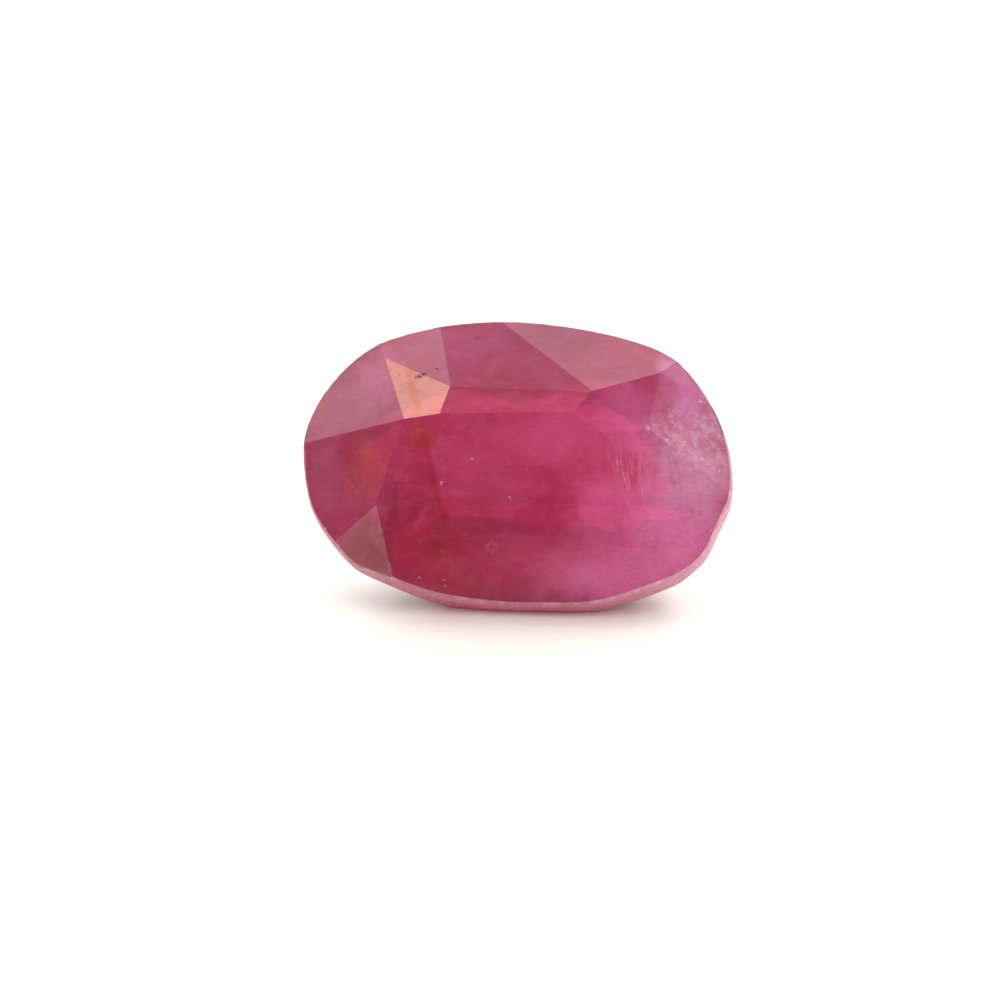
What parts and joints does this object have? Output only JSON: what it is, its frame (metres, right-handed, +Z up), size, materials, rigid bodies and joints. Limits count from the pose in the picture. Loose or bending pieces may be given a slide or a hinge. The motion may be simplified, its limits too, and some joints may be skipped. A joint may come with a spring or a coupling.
{
  "type": "oval cut ruby gemstone",
  "caption": "Loose oval ruby with a faceted crown, a slightly tilted table, a pale frosted girdle and a deep stepped pavilion, leaning back at rest on one pavilion facet.",
  "frame": {"origin": "centre of the bounding box, at the level of the facet that the stone lies on", "axes": "+X along the stone's length, +Z up, with the table facing -Y and upwards"},
  "size_m": [0.012, 0.0066, 0.0075],
  "materials": {
    "ruby": "polished transparent corundum with cloudy inclusions and a frosted girdle"
  },
  "bodies": {
    "root": {"ruby": "ruby"}
  },
  "joints": []
}
